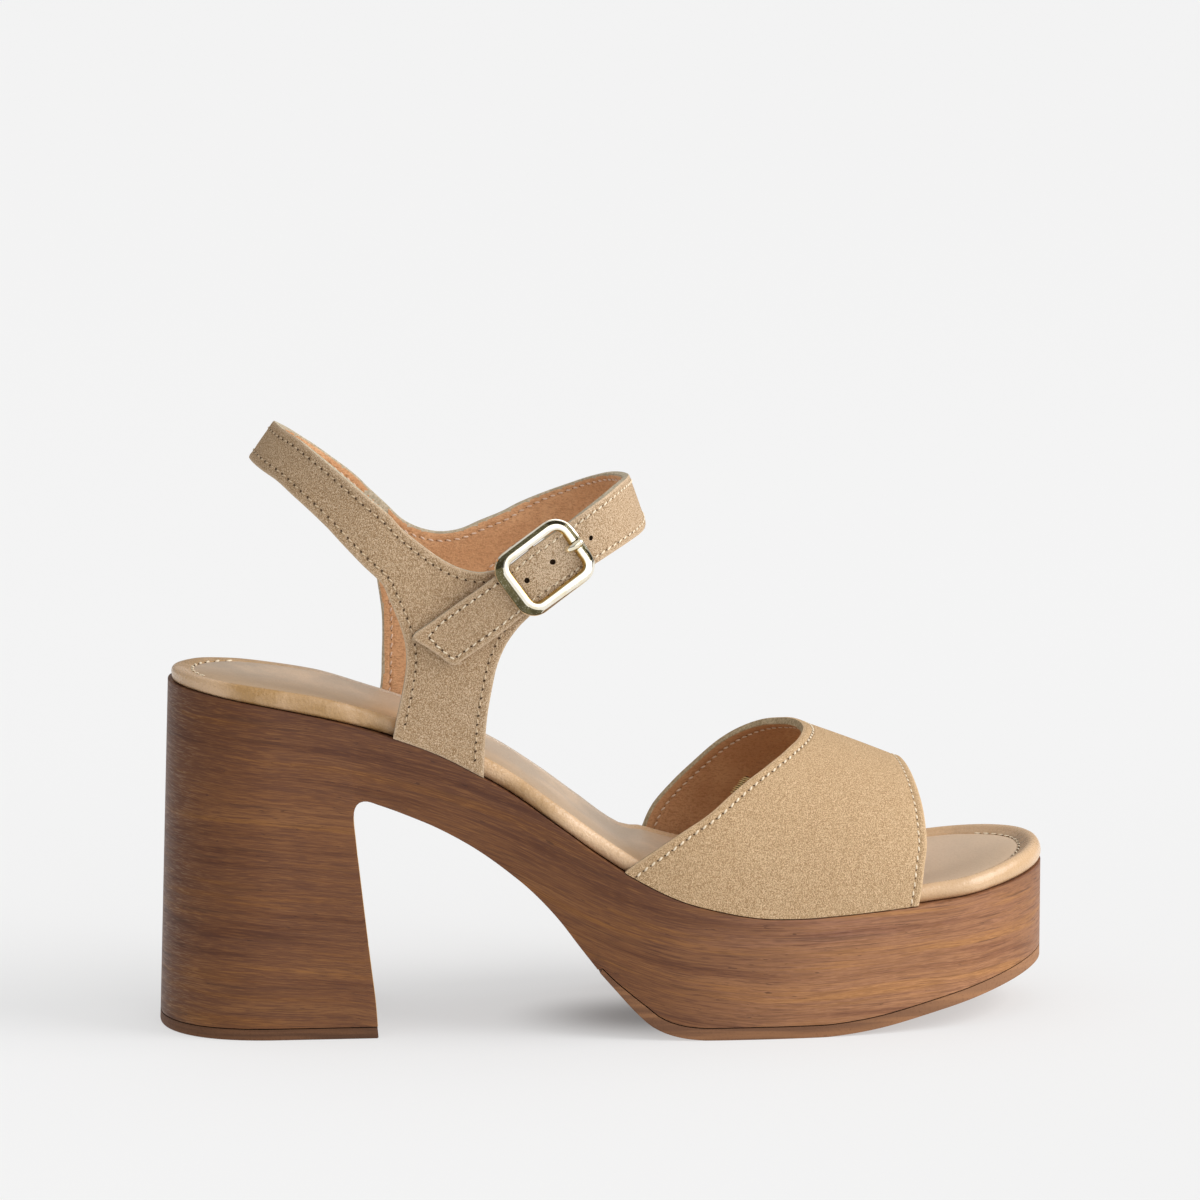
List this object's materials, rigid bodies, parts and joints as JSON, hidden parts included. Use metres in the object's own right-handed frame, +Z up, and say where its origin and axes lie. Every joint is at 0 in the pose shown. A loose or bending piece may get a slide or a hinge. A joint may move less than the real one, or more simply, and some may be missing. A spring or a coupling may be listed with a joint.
{
  "type": "platform sandal",
  "caption": "Open-toe platform sandal with a wood-look block heel, a padded footbed, an arched suede vamp and a buckled suede ankle strap, for the right foot.",
  "frame": {"origin": "on the floor, below the middle of the shoe's box", "axes": "+X from heel to toe, +Y to the inner side of the foot, +Z up"},
  "size_m": [0.2424, 0.0843, 0.1636],
  "materials": {
    "wood_look": "red-brown wood look with fine long grain, satin varnish",
    "outsole_rubber": "brown rubber, matte",
    "footbed_leather": "smooth tan leather, soft gloss",
    "sock_leather": "smooth pale tan leather, soft gloss",
    "suede": "sand suede with a short nap, matte",
    "pale_gold": "polished pale gold plate"
  },
  "bodies": {
    "root": {"platform_sole": "wood_look", "forefoot_outsole": "outsole_rubber", "heel_top_piece": "outsole_rubber", "footbed": "footbed_leather", "sock_panel": "sock_leather", "vamp": "suede", "ankle_straps": "suede", "buckle_frame": "pale_gold", "buckle_prong": "pale_gold"}
  },
  "joints": []
}
